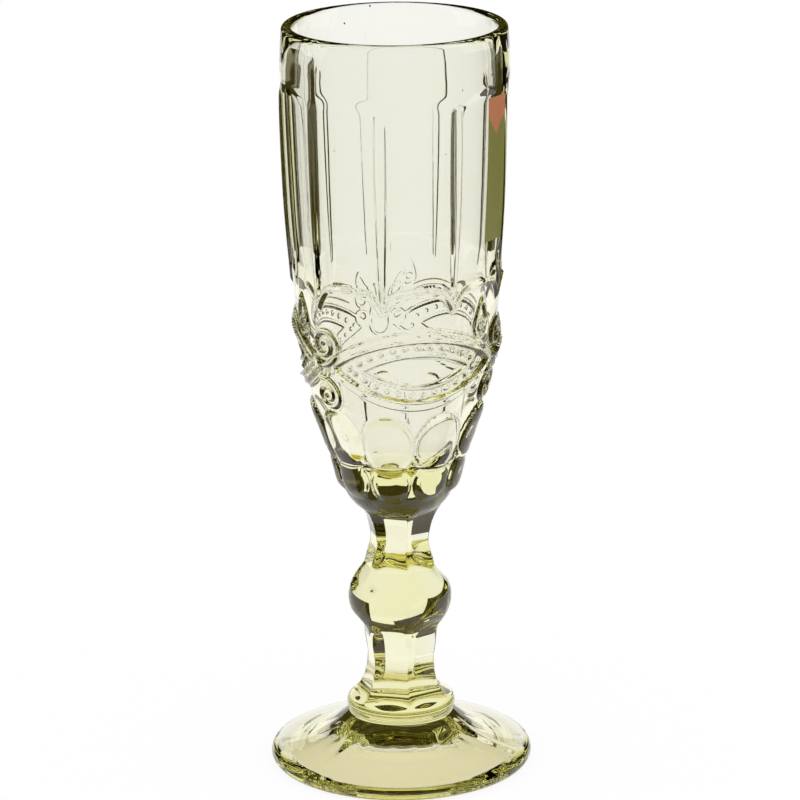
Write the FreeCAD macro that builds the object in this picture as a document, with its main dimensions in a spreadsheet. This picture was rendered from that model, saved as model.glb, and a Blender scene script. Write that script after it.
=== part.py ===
import FreeCAD, Part
import math
import os
import Sketcher
from FreeCAD import Placement, Rotation, Vector

# A pressed-glass champagne flute, in millimetres. It stands on z = 0 with its axis on Z.
# The glass was pressed in a mould of three equal segments, so its nine panels, six stem
# corners and three medallions all line up with the mould's seams. Every piece is turned
# about Z by the same seam angle.

# Driving sizes: cell name, value, what it is.
SIZES = [
    ("seam_angle", -48, "turn of the first mould seam about Z from -Y, degrees"),
    ("foot_radius", 34.8, "outside of the round foot"),
    ("foot_edge", 2.2, "round of the foot's edge, half its thickness"),
    ("foot_height", 18, "table to the top of the collar"),
    ("dome_sweep", 34, "radius of the hollow sweep from collar to edge"),
    ("recess_radius", 29, "hollow under the foot"),
    ("recess_depth", 8, "rise of that hollow at its centre"),
    ("collar_margin", 1, "round land outside the stem's lower corners"),
    ("collar_thickness", 4, "height of the ring at the root of the stem"),
    ("collar_bulge", 1, "how far the ring stands out"),
    ("stem_height", 52, "collar to the bottom of the bowl"),
    ("flare_radius", 12.4, "stem corners at the collar"),
    ("lower_shank_radius", 9.3, "corners at the lower waist"),
    ("lower_shank_rise", 10.5, "collar to the lower waist"),
    ("knop_radius", 14.1, "corners at the knop's belt"),
    ("knop_rise", 28.5, "collar to the knop's belt"),
    ("knop_half_height", 8.5, "belt to the shoulder of the knop"),
    ("knop_neck_radius", 10.4, "corners at that shoulder"),
    ("upper_shank_radius", 8.2, "corners at the upper waist"),
    ("upper_shank_rise", 14.5, "belt to the upper waist"),
    ("stem_top_radius", 10, "corners under the bowl"),
    ("weld_margin", 0.4, "round weld land outside the stem's corners"),
    ("bowl_height", 130, "stem to the rim"),
    ("rim_inset", 0.3, "how far the rim draws in from the widest ring"),
    ("lip_drop", 10, "rim to the widest ring"),
    ("widest_radius", 29.5, "outside of the widest ring"),
    ("waist_rise", 54, "bowl's bottom to the top of the relief"),
    ("waist_radius", 26.4, "outside there"),
    ("belly_rise", 27, "bowl's bottom to the foot of the relief"),
    ("belly_radius", 21.3, "outside there"),
    ("cup_rise", 9, "bowl's bottom to the cup's root"),
    ("cup_radius", 15.9, "outside there"),
    ("side_curve", 900, "curve of the panelled side"),
    ("waist_curve", 500, "curve of the relief"),
    ("cup_curve", 60, "curve of the cup under the relief"),
    ("rim_wall", 3, "wall at the rim"),
    ("waist_wall", 3.6, "wall at the top of the relief"),
    ("belly_wall", 4.4, "wall at the foot of the relief"),
    ("floor_thickness", 10.5, "solid glass under the wine"),
    ("tip_curve", 22, "curve of the floor of the cavity"),
    ("panel_count", 9, "panels round the bowl"),
    ("panel_depth", 1, "how far each panel is cut in"),
    ("panel_half_width", 8.9, "ridge to the panel's centre line"),
    ("panel_foot_gap", 10, "relief to the panel's lower edge"),
    ("panel_top_gap", 16, "rim to the panel's shoulders"),
    ("panel_arch", 13, "curve of the panel's two ends"),
    ("oval_half_height", 7.4, "oval boss, half its height"),
    ("oval_bulge", 6.2, "oval boss, axis to its crown"),
    ("oval_rise", 22, "bowl's bottom to the ovals' centres"),
    ("oval_centre_radius", 15.8, "glass axis to an oval's own axis"),
    ("petal_half_height", 5.4, "lower boss, half its height"),
    ("petal_bulge", 4.6, "lower boss, axis to its crown"),
    ("petal_rise", 11.6, "bowl's bottom to the lower bosses' centres"),
    ("petal_centre_radius", 13, "glass axis to a lower boss's own axis"),
    ("ribbon_proud", 0.8, "how far the ribbons stand out"),
    ("ribbon_root", 1.2, "how deep they are rooted in the wall"),
    ("medallion_drop", 11, "top of the relief to the medallion's middle"),
    ("medallion_half_width", 22, "outer tips of a medallion"),
    ("medallion_curve", 27.6, "curve of its outer edge"),
    ("opening_half_width", 15.5, "inner tips of a medallion"),
    ("opening_curve", 22, "curve of its inner edge"),
    ("volute_radius", 5.6, "scroll beside a crossing"),
    ("volute_spread", 7.2, "crossing to a scroll's centre"),
    ("label_width", 7.4, "paper sticker"),
    ("label_foot_gap", 12, "panel's lower edge to the sticker's lower end"),
    ("label_thickness", 0.14, "paper and print"),
    ("label_shift", 5, "panel's centre line to the sticker's"),
    ("label_top_gap", 0.2, "panel's shoulders to the top of the sticker"),
]

# Sizes that follow from the driving ones.
DERIVED = [
    ("foot_edge_top", "=2 * foot_edge"),
    ("foot_flat_radius", "=foot_radius - foot_edge"),
    ("recess_curve", "=(recess_radius ^ 2 + recess_depth ^ 2) / (2 * recess_depth)"),
    ("collar_base", "=foot_height - collar_thickness"),
    ("collar_neck", "=flare_radius + collar_margin"),
    ("collar_curve", "=(collar_thickness ^ 2 / 4 + collar_bulge ^ 2) / (2 * collar_bulge)"),
    ("lower_waist_z", "=foot_height + lower_shank_rise"),
    ("knop_z", "=foot_height + knop_rise"),
    ("knop_bottom_z", "=knop_z - knop_half_height"),
    ("knop_top_z", "=knop_z + knop_half_height"),
    ("upper_waist_z", "=knop_z + upper_shank_rise"),
    ("bowl_base", "=foot_height + stem_height"),
    ("weld_radius", "=stem_top_radius + weld_margin"),
    ("total_height", "=bowl_base + bowl_height"),
    ("rim_radius", "=widest_radius - rim_inset"),
    ("lip_curve", "=rim_wall / 2"),
    ("lip_z", "=total_height - lip_curve"),
    ("lip_radius", "=rim_radius - lip_curve"),
    ("cut_top", "=total_height + rim_wall"),
    ("widest_z", "=total_height - lip_drop"),
    ("waist_z", "=bowl_base + waist_rise"),
    ("belly_z", "=bowl_base + belly_rise"),
    ("cup_z", "=bowl_base + cup_rise"),
    ("rim_inside", "=rim_radius - rim_wall"),
    ("waist_inside", "=waist_radius - waist_wall"),
    ("belly_inside", "=belly_radius - belly_wall"),
    ("cavity_floor", "=bowl_base + floor_thickness"),
    ("panel_foot_z", "=waist_z + panel_foot_gap"),
    ("panel_shoulder_z", "=total_height - panel_top_gap"),
    ("panel_height", "=panel_shoulder_z - panel_foot_z"),
    ("side_slope", "=atan((widest_radius - waist_radius) / (widest_z - waist_z))"),
    ("panel_foot_radius", "=waist_radius + panel_foot_gap * tan(side_slope)"),
    ("panel_plane", "=panel_foot_radius - panel_depth"),
    ("oval_curve", "=(oval_half_height ^ 2 + oval_bulge ^ 2) / (2 * oval_bulge)"),
    ("oval_low_z", "=bowl_base + oval_rise - oval_half_height"),
    ("oval_high_z", "=bowl_base + oval_rise + oval_half_height"),
    ("petal_curve", "=(petal_half_height ^ 2 + petal_bulge ^ 2) / (2 * petal_bulge)"),
    ("petal_low_z", "=bowl_base + petal_rise - petal_half_height"),
    ("petal_high_z", "=bowl_base + petal_rise + petal_half_height"),
    ("relief_height", "=waist_z - belly_z"),
    ("ribbon_low", "=belly_radius + ribbon_proud"),
    ("ribbon_high", "=waist_radius + ribbon_proud"),
    ("root_low", "=belly_radius - ribbon_root"),
    ("root_high", "=waist_radius - ribbon_root"),
    ("medallion_z", "=waist_z - medallion_drop"),
    ("relief_slope", "=atan((waist_radius - belly_radius) / relief_height)"),
    ("volute_high_z", "=medallion_z + volute_spread"),
    ("volute_low_z", "=medallion_z - volute_spread"),
    ("volute_high_reach", "=root_low + (volute_high_z - belly_z) * tan(relief_slope)"),
    ("volute_low_reach", "=root_low + (volute_low_z - belly_z) * tan(relief_slope)"),
    ("volute_length", "=ribbon_root + 2 * ribbon_proud"),
    ("label_left", "=label_shift - label_width / 2"),
    ("label_right", "=label_shift + label_width / 2"),
    ("label_top", "=panel_height - label_top_gap"),
]

SHEET = "Sizes"
SEGMENTS = 3
STEM_SIDES = 6

doc = FreeCAD.newDocument("Flute")
sheet = doc.addObject("Spreadsheet::Sheet", SHEET)


def fill_sheet():
    """Writes the driving sizes and then the ones worked out from them."""
    for row, (name, value, meaning) in enumerate(SIZES, start=1):
        sheet.set(f"A{row}", name)
        sheet.set(f"B{row}", str(value))
        sheet.set(f"C{row}", meaning)
        sheet.setAlias(f"B{row}", name)
    doc.recompute()
    for row, (name, formula) in enumerate(DERIVED, start=len(SIZES) + 2):
        sheet.set(f"A{row}", name)
        sheet.set(f"B{row}", formula)
        sheet.setAlias(f"B{row}", name)
        doc.recompute()


def size(name):
    """The present value of a cell, as a plain number."""
    value = sheet.get(name)
    return float(getattr(value, "Value", value))


def cell(name):
    """The cell's name as an expression reads it."""
    return f"{SHEET}.{name}"


def plane_of(body, role):
    """One of a body's own origin planes or axes."""
    return next(item for item in body.Origin.OriginFeatures if item.Role == role)


def new_body(name):
    """An empty body."""
    body = doc.addObject("PartDesign::Body", name)
    body.Label = name
    return body


def turn_to_seam(item, extra="0"):
    """Turns a piece about Z by the seam angle, and by a further angle in degrees."""
    item.Placement = Placement(Vector(0, 0, 0), Rotation(Vector(0, 0, 1), 1))
    item.setExpression("Placement.Rotation.Angle", f"({cell('seam_angle')} + {extra}) * 1deg")


def new_sketch(body, name, role):
    """A sketch on one of the body's origin planes."""
    sketch = body.newObject("Sketcher::SketchObject", name)
    sketch.AttachmentSupport = [(plane_of(body, role), "")]
    sketch.MapMode = "FlatFace"
    return sketch


def bind(sketch, kind, arguments, name, expression):
    """Adds a dimension to a sketch and ties it to the sheet."""
    index = sketch.addConstraint(Sketcher.Constraint(kind, *arguments))
    sketch.renameConstraint(index, name)
    sketch.setExpression(f"Constraints.{name}", expression)


def arc_centre(start, end, radius, left):
    """The centre of the shorter arc from start to end that bulges to the left or right."""
    chord = end - start
    across = Vector(-chord.y, chord.x, 0).normalize()
    height = math.sqrt(max(radius ** 2 - chord.Length ** 2 / 4, 0))
    return (start + end) * 0.5 + across * (-height if left else height)


def add_side(sketch, start, end, radius, left):
    """Adds a straight or curved side, and returns it with the numbers of its two ends."""
    if radius is None:
        return sketch.addGeometry(Part.LineSegment(start, end), False), 1, 2
    centre = arc_centre(start, end, radius, left)
    circle = Part.Circle(centre, Vector(0, 0, 1), radius)
    first = math.atan2(start.y - centre.y, start.x - centre.x)
    last = math.atan2(end.y - centre.y, end.x - centre.x)
    if left:
        return sketch.addGeometry(Part.ArcOfCircle(circle, last, first), False), 2, 1
    return sketch.addGeometry(Part.ArcOfCircle(circle, first, last), False), 1, 2


def pin_point(sketch, label, geometry, end, across, up):
    """Places one corner by its cells; a cell of None puts it on the axis."""
    if across is None:
        sketch.addConstraint(Sketcher.Constraint("PointOnObject", geometry, end, -2))
    else:
        bind(sketch, "DistanceX", (-1, 1, geometry, end, size(across)), f"x{label}", cell(across))
    if up is None:
        sketch.addConstraint(Sketcher.Constraint("PointOnObject", geometry, end, -1))
    else:
        bind(sketch, "DistanceY", (-1, 1, geometry, end, size(up)), f"y{label}", cell(up))


def place(across, up):
    """A corner as a point, from its cells."""
    return Vector(size(across) if across else 0, size(up) if up else 0, 0)


def draw_outline(sketch, corners):
    """Draws a closed outline of corners (across, up, curve of the next side, bulges left)."""
    sides = []
    for index, (across, up, curve, left) in enumerate(corners):
        following = corners[(index + 1) % len(corners)]
        radius = size(curve) if curve else None
        sides.append(add_side(sketch, place(across, up), place(*following[:2]), radius, left))
    for index, (across, up, curve, _) in enumerate(corners):
        geometry, start, end = sides[index]
        following, next_start, _ = sides[(index + 1) % len(corners)]
        sketch.addConstraint(Sketcher.Constraint("Coincident", geometry, end, following, next_start))
        pin_point(sketch, str(index), geometry, start, across, up)
        if curve:
            bind(sketch, "Radius", (geometry, size(curve)), f"r{index}", cell(curve))


def join_ends(sketch, *joins):
    """Makes pairs of ends meet, each pair as (side, end, side, end)."""
    for join in joins:
        sketch.addConstraint(Sketcher.Constraint("Coincident", *join))


def draw_lens(sketch, half, level, curve, tag):
    """Draws an eye shape: two equal arcs that meet at tips either side of the upright axis."""
    right = place(half, level)
    left = Vector(-right.x, right.y, 0)
    low, low_left, low_right = add_side(sketch, left, right, size(curve), False)
    high, high_right, high_left = add_side(sketch, right, left, size(curve), False)
    join_ends(sketch, (low, low_right, high, high_right), (high, high_left, low, low_left))
    pin_point(sketch, tag, low, low_right, half, level)
    sketch.addConstraint(Sketcher.Constraint("Symmetric", low, low_left, low, low_right, -2))
    bind(sketch, "Radius", (low, size(curve)), f"low{tag}", cell(curve))
    bind(sketch, "Radius", (high, size(curve)), f"high{tag}", cell(curve))


def draw_panel(sketch, half, height, curve):
    """Draws a panel standing on the level axis: upright sides and two ends that arch up."""
    low_right = place(half, None)
    high_right = place(half, height)
    low_left = Vector(-low_right.x, 0, 0)
    high_left = Vector(-low_right.x, high_right.y, 0)
    low, low_start, low_end = add_side(sketch, low_left, low_right, size(curve), True)
    right, _, _ = add_side(sketch, low_right, high_right, None, False)
    high, high_start, high_end = add_side(sketch, high_right, high_left, size(curve), False)
    left, _, _ = add_side(sketch, high_left, low_left, None, False)
    join_ends(sketch, (low, low_end, right, 1), (right, 2, high, high_start))
    join_ends(sketch, (high, high_end, left, 1), (left, 2, low, low_start))
    pin_point(sketch, "low", right, 1, half, None)
    pin_point(sketch, "high", right, 2, half, height)
    sketch.addConstraint(Sketcher.Constraint("Symmetric", left, 2, right, 1, -2))
    sketch.addConstraint(Sketcher.Constraint("Symmetric", left, 1, right, 2, -2))
    bind(sketch, "Radius", (low, size(curve)), "lowEnd", cell(curve))
    bind(sketch, "Radius", (high, size(curve)), "highEnd", cell(curve))


def turned(body, name, kind, corners, role="XZ_Plane", axis="V_Axis"):
    """A revolution or groove of one closed outline about one of the sketch's lines."""
    sketch = new_sketch(body, f"{name}Outline", role)
    draw_outline(sketch, corners)
    doc.recompute()
    feature = body.newObject(kind, name)
    feature.Profile = sketch
    feature.ReferenceAxis = (sketch, [axis])
    feature.Angle = 360
    doc.recompute()
    return feature


def repeat(body, feature, name, count):
    """Repeats a feature round the glass's axis, and makes the result the body's tip."""
    pattern = body.newObject("PartDesign::PolarPattern", name)
    pattern.Originals = [feature]
    pattern.Axis = (plane_of(body, "Z_Axis"), [""])
    pattern.Angle = 360
    pattern.Occurrences = count
    body.Tip = pattern
    doc.recompute()
    return pattern


def make_foot():
    """A round foot, hollowed underneath, sweeping up to a ring under the stem."""
    corners = [
        (None, "recess_depth", "recess_curve", True),
        ("recess_radius", None, None, False),
        ("foot_flat_radius", None, "foot_edge", False),
        ("foot_radius", "foot_edge", "foot_edge", False),
        ("foot_flat_radius", "foot_edge_top", "dome_sweep", True),
        ("collar_neck", "collar_base", "collar_curve", False),
        ("collar_neck", "foot_height", None, False),
        (None, "foot_height", None, False),
    ]
    body = new_body("foot")
    turned(body, "FootTurning", "PartDesign::Revolution", corners)
    turn_to_seam(body)
    return body


def make_stem():
    """A six-sided stem, waisted above and below a knop."""
    sections = [
        ("flare_radius", "foot_height"),
        ("lower_shank_radius", "lower_waist_z"),
        ("knop_neck_radius", "knop_bottom_z"),
        ("knop_radius", "knop_z"),
        ("knop_neck_radius", "knop_top_z"),
        ("upper_shank_radius", "upper_waist_z"),
        ("stem_top_radius", "bowl_base"),
    ]
    polygons = []
    for index, (radius, level) in enumerate(sections):
        polygon = doc.addObject("Part::RegularPolygon", f"StemSection{index}")
        polygon.Polygon = STEM_SIDES
        polygon.setExpression("Circumradius", cell(radius))
        polygon.setExpression("Placement.Base.z", cell(level))
        polygons.append(polygon)
    stem = doc.addObject("Part::Loft", "stem")
    stem.Sections = polygons
    stem.Solid = True
    stem.Ruled = False
    stem.Label = "stem"
    turn_to_seam(stem, extra="-90")
    return stem


def outer_form(body):
    """The solid that the bowl is pressed from, before its panels, bosses and cavity."""
    corners = [
        (None, "bowl_base", None, False),
        ("weld_radius", "bowl_base", None, False),
        ("cup_radius", "cup_z", "cup_curve", False),
        ("belly_radius", "belly_z", "waist_curve", False),
        ("waist_radius", "waist_z", "side_curve", False),
        ("widest_radius", "widest_z", None, False),
        ("rim_radius", "lip_z", "lip_curve", False),
        ("lip_radius", "total_height", None, False),
        (None, "total_height", None, False),
    ]
    return turned(body, "BowlTurning", "PartDesign::Revolution", corners)


def lean_out(sketch, level, distance, slope):
    """Moves a sketch up to a level and out from the axis, leaning with the bowl's wall."""
    sketch.AttachmentOffset = Placement(Vector(0, 0, 0), Rotation(Vector(1, 0, 0), 1))
    sketch.setExpression("AttachmentOffset.Base.y", level)
    sketch.setExpression("AttachmentOffset.Base.z", distance)
    sketch.setExpression("AttachmentOffset.Rotation.Angle", slope)


def cut_panels(body):
    """Flat panels with arched ends, leaving narrow ridges between them."""
    sketch = new_sketch(body, "PanelOutline", "XZ_Plane")
    lean_out(sketch, cell("panel_foot_z"), cell("panel_plane"), cell("side_slope"))
    draw_panel(sketch, "panel_half_width", "panel_height", "panel_arch")
    doc.recompute()
    pocket = body.newObject("PartDesign::Pocket", "Panel")
    pocket.Profile = sketch
    pocket.Type = "Length"
    pocket.setExpression("Length", cell("rim_radius"))
    pocket.Reversed = True
    before = body.Shape.Volume
    doc.recompute()
    repeat(body, pocket, "Panels", int(size("panel_count")))
    if body.Shape.Volume >= before:
        raise RuntimeError("the panels took nothing away")


def add_bosses(body, name, centre, low, high, curve, role):
    """A ring of rounded bosses, each turned about its own upright line."""
    corners = [(centre, low, curve, False), (centre, high, None, False)]
    boss = turned(body, name, "PartDesign::Revolution", corners, role, axis="Edge2")
    repeat(body, boss, f"{name}s", int(size("panel_count")))


def add_scroll(body, name, level, reach):
    """A round boss for the scroll above or below each crossing of the ribbons."""
    sketch = new_sketch(body, f"{name}Outline", "XZ_Plane")
    lean_out(sketch, cell(level), f"-{cell(reach)}", f"-{cell('relief_slope')}")
    circle = sketch.addGeometry(Part.Circle(Vector(), Vector(0, 0, 1), size("volute_radius")), False)
    sketch.addConstraint(Sketcher.Constraint("Coincident", circle, 3, -1, 1))
    bind(sketch, "Radius", (circle, size("volute_radius")), "round", cell("volute_radius"))
    doc.recompute()
    pad = body.newObject("PartDesign::Pad", name)
    pad.Profile = sketch
    pad.setExpression("Length", cell("volute_length"))
    pad.Reversed = True
    doc.recompute()
    repeat(body, pad, f"{name}s", SEGMENTS)


def hollow_out(body):
    """The cavity for the wine, with a rounded lip and a rounded floor."""
    corners = [
        (None, "cavity_floor", "tip_curve", False),
        ("belly_inside", "belly_z", "waist_curve", False),
        ("waist_inside", "waist_z", "side_curve", False),
        ("rim_inside", "lip_z", "lip_curve", True),
        ("lip_radius", "total_height", None, False),
        ("lip_radius", "cut_top", None, False),
        (None, "cut_top", None, False),
    ]
    before = body.Shape.Volume
    turned(body, "Cavity", "PartDesign::Groove", corners)
    if body.Shape.Volume >= before:
        raise RuntimeError("the cavity took nothing away")


def cone(name, low, high):
    """A solid cone over the height of the relief."""
    item = doc.addObject("Part::Cone", name)
    item.setExpression("Radius1", cell(low))
    item.setExpression("Radius2", cell(high))
    item.setExpression("Height", cell("relief_height"))
    item.setExpression("Placement.Base.z", cell("belly_z"))
    return item


def medallion_prism():
    """A prism in the outline of one medallion's ribbon, running out from the axis to -Y."""
    sketch = doc.addObject("Sketcher::SketchObject", "MedallionOutline")
    sketch.Placement = Placement(Vector(0, 0, 0), Rotation(Vector(1, 0, 0), 90))
    draw_lens(sketch, "medallion_half_width", "medallion_z", "medallion_curve", "Outer")
    draw_lens(sketch, "opening_half_width", "medallion_z", "opening_curve", "Inner")
    prism = doc.addObject("Part::Extrusion", "MedallionPrism")
    prism.Base = sketch
    prism.DirMode = "Custom"
    prism.Dir = Vector(0, -1, 0)
    prism.setExpression("LengthFwd", f"2 * {cell('rim_radius')}")
    prism.Solid = True
    return prism


def make_ribbons():
    """The ribbons of the medallions: their outline cut from a skin over the relief."""
    skin = doc.addObject("Part::Cut", "ReliefSkin")
    skin.Base = cone("ReliefOutside", "ribbon_low", "ribbon_high")
    skin.Tool = cone("ReliefInside", "root_low", "root_high")
    prism = medallion_prism()
    ribbons = []
    for index in range(SEGMENTS):
        ribbon = doc.addObject("Part::Common", f"Medallion{index}")
        ribbon.Base = skin
        ribbon.Tool = prism
        ribbon.Placement = Placement(Vector(), Rotation(Vector(0, 0, 1), index * 360 / SEGMENTS))
        ribbons.append(ribbon)
    return ribbons


def make_bowl():
    """The bowl: nine panels over a relief of medallions and scrolls, over two rows of bosses.

    A seam, with its ridge, scrolls and bosses, lies on local +Y. A panel and a medallion lie
    opposite, on local -Y, because the panels are odd in number.
    """
    body = new_body("BowlBlank")
    outer_form(body)
    cut_panels(body)
    add_bosses(body, "Oval", "oval_centre_radius", "oval_low_z", "oval_high_z",
               "oval_curve", "YZ_Plane")
    add_bosses(body, "Petal", "petal_centre_radius", "petal_low_z", "petal_high_z",
               "petal_curve", "YZ_Plane")
    add_scroll(body, "UpperScroll", "volute_high_z", "volute_high_reach")
    add_scroll(body, "LowerScroll", "volute_low_z", "volute_low_reach")
    hollow_out(body)
    bowl = doc.addObject("Part::MultiFuse", "bowl")
    bowl.Shapes = [body, *make_ribbons()]
    bowl.Label = "bowl"
    turn_to_seam(bowl, extra="180")
    return bowl


def make_label():
    """A paper sticker on a panel's flat, a plain upright strip."""
    body = new_body("label")
    sketch = new_sketch(body, "LabelOutline", "XZ_Plane")
    lean_out(sketch, cell("panel_foot_z"), cell("panel_plane"), cell("side_slope"))
    corners = [
        ("label_left", "label_foot_gap", None, False),
        ("label_right", "label_foot_gap", None, False),
        ("label_right", "label_top", None, False),
        ("label_left", "label_top", None, False),
    ]
    draw_outline(sketch, corners)
    doc.recompute()
    pad = body.newObject("PartDesign::Pad", "LabelPaper")
    pad.Profile = sketch
    pad.setExpression("Length", cell("label_thickness"))
    turn_to_seam(body, extra=f"180 - 2 * 360 / {cell('panel_count')}")
    return body


def check_and_write(pieces):
    """Stops on any failed object or unsound shape, then writes one file for each piece."""
    for item in doc.Objects:
        if "Invalid" in item.State or "Error" in item.State:
            raise RuntimeError(f"{item.Name} failed: {item.State}")
    for piece in pieces:
        if piece.Shape.isNull() or not piece.Shape.isValid():
            raise RuntimeError(f"{piece.Label} has no sound shape")
        if len(piece.Shape.Solids) != 1:
            raise RuntimeError(f"{piece.Label} is {len(piece.Shape.Solids)} solids")
    os.makedirs("parts", exist_ok=True)
    for piece in pieces:
        piece.Shape.exportStep(f"parts/{piece.Label}.step")
        print(f"{piece.Label}: {piece.Shape.Volume / 1000:.2f} cm3")


def main():
    """Builds the four pieces, checks them and writes them."""
    fill_sheet()
    pieces = [make_foot(), make_stem(), make_bowl(), make_label()]
    doc.recompute()
    check_and_write(pieces)


main()
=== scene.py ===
"""Looks of a pressed-glass champagne flute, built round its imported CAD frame.

The glass was pressed hot in a mould of three segments and then joined to its stem and foot,
so it shows as one unbroken skin of glass. Sizes in the classes are real millimetres, and
angles are degrees about the glass's axis, measured from -Y towards +X.
"""

import logging
import math
from dataclasses import dataclass, field
from enum import Enum
from typing import Any

import bmesh
import bpy
import numpy as np
from mathutils import Euler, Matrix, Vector


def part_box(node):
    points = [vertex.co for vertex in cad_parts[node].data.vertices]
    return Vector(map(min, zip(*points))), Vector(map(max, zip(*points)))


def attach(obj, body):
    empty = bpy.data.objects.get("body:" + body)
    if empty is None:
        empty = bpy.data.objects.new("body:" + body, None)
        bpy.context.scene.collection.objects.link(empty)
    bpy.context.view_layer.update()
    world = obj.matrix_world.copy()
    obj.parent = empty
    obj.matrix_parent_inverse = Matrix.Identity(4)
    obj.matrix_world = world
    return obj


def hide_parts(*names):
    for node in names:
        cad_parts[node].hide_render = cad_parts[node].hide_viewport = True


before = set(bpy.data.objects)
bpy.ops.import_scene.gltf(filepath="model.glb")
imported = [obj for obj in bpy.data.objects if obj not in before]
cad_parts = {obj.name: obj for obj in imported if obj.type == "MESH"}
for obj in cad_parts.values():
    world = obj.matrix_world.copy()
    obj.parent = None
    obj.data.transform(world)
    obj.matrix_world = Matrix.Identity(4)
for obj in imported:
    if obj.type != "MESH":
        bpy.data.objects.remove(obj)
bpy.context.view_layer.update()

MM = 0.001
LOG = logging.getLogger("flute")

# The mould: three segments, with the first seam at this angle. Nine panels and six stem
# corners line up with the seams.
SEAM = -48.0
SEGMENTS = 3
PANELS = 9
STEM_SIDES = 6

# Columns of the skin: twice as many where there is relief. They gather at the panels' ridges.
FINE_COLUMNS = 432
COARSE_COLUMNS = 216
GATHER = 0.6

# An eye-shaped outline is followed a little past its two points, where ribbons cross.
LENS_END = 1.3

Numbers = np.ndarray
Point = tuple[float, float]


def linear(code: str) -> tuple[float, float, float, float]:
    """Turns an sRGB hex colour into linear red, green, blue and alpha.

    Args:
        code: Six hex digits, with or without a leading mark.

    Returns:
        The colour that a shader socket takes.
    """
    digits = code.lstrip("#")
    parts = [int(digits[at:at + 2], 16) / 255 for at in (0, 2, 4)]
    red, green, blue = (part / 12.92 if part <= 0.04045 else ((part + 0.055) / 1.055) ** 2.4
                        for part in parts)
    return red, green, blue, 1.0


def add_node(tree: bpy.types.NodeTree, kind: str, settings: dict[str, Any] | None = None,
             inputs: dict[str | int, Any] | None = None) -> bpy.types.Node:
    """Adds one node, gives it its settings, and sets or links its inputs.

    Args:
        tree: The node tree that takes the node.
        kind: Blender's name for the kind of node.
        settings: Properties of the node itself.
        inputs: Values for its sockets; an output socket is linked instead of copied.

    Returns:
        The new node.
    """
    node = tree.nodes.new(kind)
    for name, value in (settings or {}).items():
        setattr(node, name, value)
    for key, value in (inputs or {}).items():
        if isinstance(value, bpy.types.NodeSocket):
            tree.links.new(value, node.inputs[key])
        else:
            node.inputs[key].default_value = value
    return node


def smoothstep(value: Numbers) -> Numbers:
    """Eases from 0 to 1 as the value does."""
    inside = np.clip(value, 0.0, 1.0)
    return inside * inside * (3 - 2 * inside)


def soft_min(first: Numbers, second: Numbers, blend: float) -> Numbers:
    """The smaller of two surfaces, with the edge between them rounded by blend."""
    lower = np.minimum(first, second)
    return lower - blend * np.log1p(np.exp(-np.abs(first - second) / blend))


def soft_max(first: Numbers, second: Numbers, blend: float) -> Numbers:
    """The larger of two surfaces, with the valley between them rounded by blend."""
    return -soft_min(-first, -second, blend)


def smooth_line(stations: tuple[Point, ...], at: Numbers) -> Numbers:
    """Reads a smooth curve through a few stations, with no overshoot between them.

    Args:
        stations: Pairs of height and radius, lowest first.
        at: The heights to read.

    Returns:
        The radius at each height.
    """
    place, value = (np.array(part) for part in zip(*stations))
    run, rise = np.diff(place), np.diff(value)
    slope = rise / run
    same_way = slope[:-1] * slope[1:] > 0
    total = np.where(same_way, slope[:-1] + slope[1:], 1.0)
    inner = np.where(same_way, 2 * slope[:-1] * slope[1:] / total, 0.0)
    tangent = np.concatenate([slope[:1], inner, slope[-1:]])
    span = np.clip(np.searchsorted(place, at, side="right") - 1, 0, len(run) - 1)
    width = run[span]
    share = np.clip((at - place[span]) / width, 0, 1)
    start = (1 + 2 * share) * (1 - share) ** 2 * value[span]
    end = share ** 2 * (3 - 2 * share) * value[span + 1]
    leave = share * (1 - share) ** 2 * width * tangent[span]
    arrive = share ** 2 * (share - 1) * width * tangent[span + 1]
    return start + end + leave + arrive


def from_nearest(angle: Numbers, first: float, count: int) -> Numbers:
    """The angle in degrees from the nearest of a ring of evenly spaced places."""
    pitch = 360 / count
    return (angle - first + pitch / 2) % pitch - pitch / 2


def around(radius: Numbers, angle: Numbers, height: Numbers) -> Numbers:
    """Points at a radius, angle in degrees and height, as rows of x, y and z."""
    turn = np.radians(angle)
    return np.stack([radius * np.sin(turn), -radius * np.cos(turn), height + 0 * turn], axis=-1)


def arc(centre: Point, radius: float, first: float, last: float, steps: int) -> list[Point]:
    """Points along an arc in the plane of radius and height, its angles in degrees."""
    turns = np.radians(np.linspace(first, last, steps))
    return [(centre[0] + radius * math.cos(turn), centre[1] + radius * math.sin(turn)) for turn in turns]


@dataclass(frozen=True)
class Zone:
    """A stretch of the glass's height with rings evenly spaced and one number of columns."""

    low: float
    high: float
    step: float
    columns: int

    def heights(self) -> Numbers:
        """The heights of its rings, the last one left to the next zone."""
        count = max(1, round((self.high - self.low) / self.step))
        return np.linspace(self.low, self.high, count, endpoint=False)


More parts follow.
